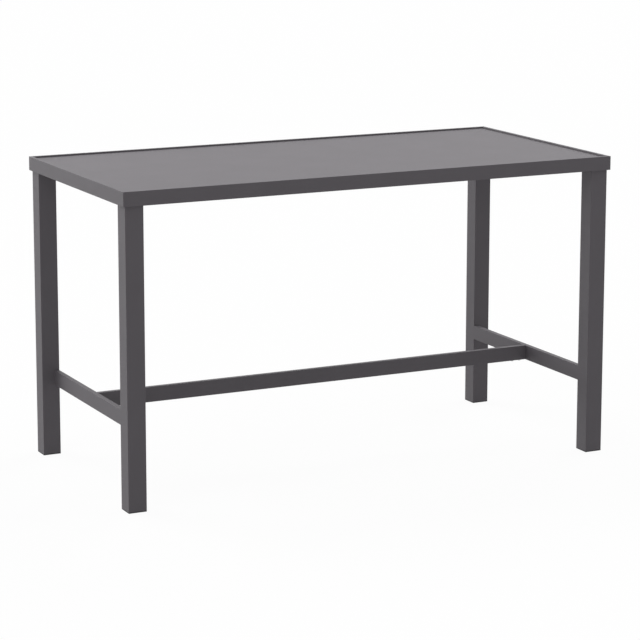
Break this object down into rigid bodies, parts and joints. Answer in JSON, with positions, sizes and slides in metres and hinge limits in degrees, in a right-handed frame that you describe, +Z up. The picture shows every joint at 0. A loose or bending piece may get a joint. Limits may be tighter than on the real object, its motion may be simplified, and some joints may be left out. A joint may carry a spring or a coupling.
{
  "type": "standing meeting table",
  "caption": "Standing-height meeting table: a flat panel recessed in a raised rim, on square legs tied by an H-shaped base, with levelling feet under the legs.",
  "frame": {"origin": "on the floor, under the middle of the table", "axes": "+X along the table to the right, +Y towards its back, +Z up"},
  "size_m": [1.81, 0.874, 1.05],
  "materials": {
    "coated_metal": "matte dark grey powder coat with a very fine texture",
    "bare_metal": "plain cast and sawn metal, hidden inside the tubes",
    "plated_steel": "dull zinc-plated screws and studs",
    "black_plastic": "matte black moulded plastic"
  },
  "bodies": {
    "table": {"rail_front": "coated_metal", "rail_right": "coated_metal", "rail_back": "coated_metal", "rail_left": "coated_metal", "top_panel": "coated_metal", "leg_fl": "coated_metal", "leg_fr": "coated_metal", "leg_br": "coated_metal", "leg_bl": "coated_metal", "end_stretcher_left": "coated_metal", "end_stretcher_right": "coated_metal", "long_stretcher": "coated_metal", "panel_bearer_left": "coated_metal", "panel_bearer_middle": "coated_metal", "panel_bearer_right": "coated_metal", "leg_flange_fl": "coated_metal", "leg_flange_fr": "coated_metal", "leg_flange_br": "coated_metal", "leg_flange_bl": "coated_metal", "corner_gusset_fl": "coated_metal", "corner_gusset_fr": "coated_metal", "corner_gusset_br": "coated_metal", "corner_gusset_bl": "coated_metal", "corner_cleat_fl": "bare_metal", "corner_cleat_fr": "bare_metal", "corner_cleat_br": "bare_metal", "corner_cleat_bl": "bare_metal", "spigot_left": "bare_metal", "spigot_right": "bare_metal", "leg_bolt_fl_1": "plated_steel", "leg_bolt_fl_2": "plated_steel", "leg_bolt_fl_3": "plated_steel", "leg_bolt_fr_1": "plated_steel", "leg_bolt_fr_2": "plated_steel", "leg_bolt_fr_3": "plated_steel", "leg_bolt_br_1": "plated_steel", "leg_bolt_br_2": "plated_steel", "leg_bolt_br_3": "plated_steel", "leg_bolt_bl_1": "plated_steel", "leg_bolt_bl_2": "plated_steel", "leg_bolt_bl_3": "plated_steel", "spigot_screw_left_1": "plated_steel", "spigot_screw_left_2": "plated_steel", "spigot_screw_right_1": "plated_steel", "spigot_screw_right_2": "plated_steel", "foot_plug_fl": "black_plastic", "foot_plug_fr": "black_plastic", "foot_plug_br": "black_plastic", "foot_plug_bl": "black_plastic"},
    "pad_fl": {"foot_pad_fl": "black_plastic"},
    "stud_fl": {"foot_stud_fl": "plated_steel"},
    "pad_fr": {"foot_pad_fr": "black_plastic"},
    "stud_fr": {"foot_stud_fr": "plated_steel"},
    "pad_br": {"foot_pad_br": "black_plastic"},
    "stud_br": {"foot_stud_br": "plated_steel"},
    "pad_bl": {"foot_pad_bl": "black_plastic"},
    "stud_bl": {"foot_stud_bl": "plated_steel"}
  },
  "joints": [
    {"name": "foot_slide_fl", "type": "slide", "parent": "table", "child": "pad_fl", "axis": [0, 0, -1], "range_m": [0, 0.012]},
    {"name": "foot_turn_fl", "type": "hinge", "parent": "pad_fl", "child": "stud_fl", "pos_m": [-0.865, -0.397, 0.02], "axis": [0, 0, -1], "range_deg": [0, 3455]},
    {"name": "foot_slide_fr", "type": "slide", "parent": "table", "child": "pad_fr", "axis": [0, 0, -1], "range_m": [0, 0.012]},
    {"name": "foot_turn_fr", "type": "hinge", "parent": "pad_fr", "child": "stud_fr", "pos_m": [0.865, -0.397, 0.02], "axis": [0, 0, -1], "range_deg": [0, 3455]},
    {"name": "foot_slide_br", "type": "slide", "parent": "table", "child": "pad_br", "axis": [0, 0, -1], "range_m": [0, 0.012]},
    {"name": "foot_turn_br", "type": "hinge", "parent": "pad_br", "child": "stud_br", "pos_m": [0.865, 0.397, 0.02], "axis": [0, 0, -1], "range_deg": [0, 3455]},
    {"name": "foot_slide_bl", "type": "slide", "parent": "table", "child": "pad_bl", "axis": [0, 0, -1], "range_m": [0, 0.012]},
    {"name": "foot_turn_bl", "type": "hinge", "parent": "pad_bl", "child": "stud_bl", "pos_m": [-0.865, 0.397, 0.02], "axis": [0, 0, -1], "range_deg": [0, 3455]}
  ],
  "couplings": [
    {"joint": "foot_slide_fl", "follows": "foot_turn_fl", "m_per_rad": 0.00019894},
    {"joint": "foot_slide_fr", "follows": "foot_turn_fr", "m_per_rad": 0.00019894},
    {"joint": "foot_slide_br", "follows": "foot_turn_br", "m_per_rad": 0.00019894},
    {"joint": "foot_slide_bl", "follows": "foot_turn_bl", "m_per_rad": 0.00019894}
  ]
}
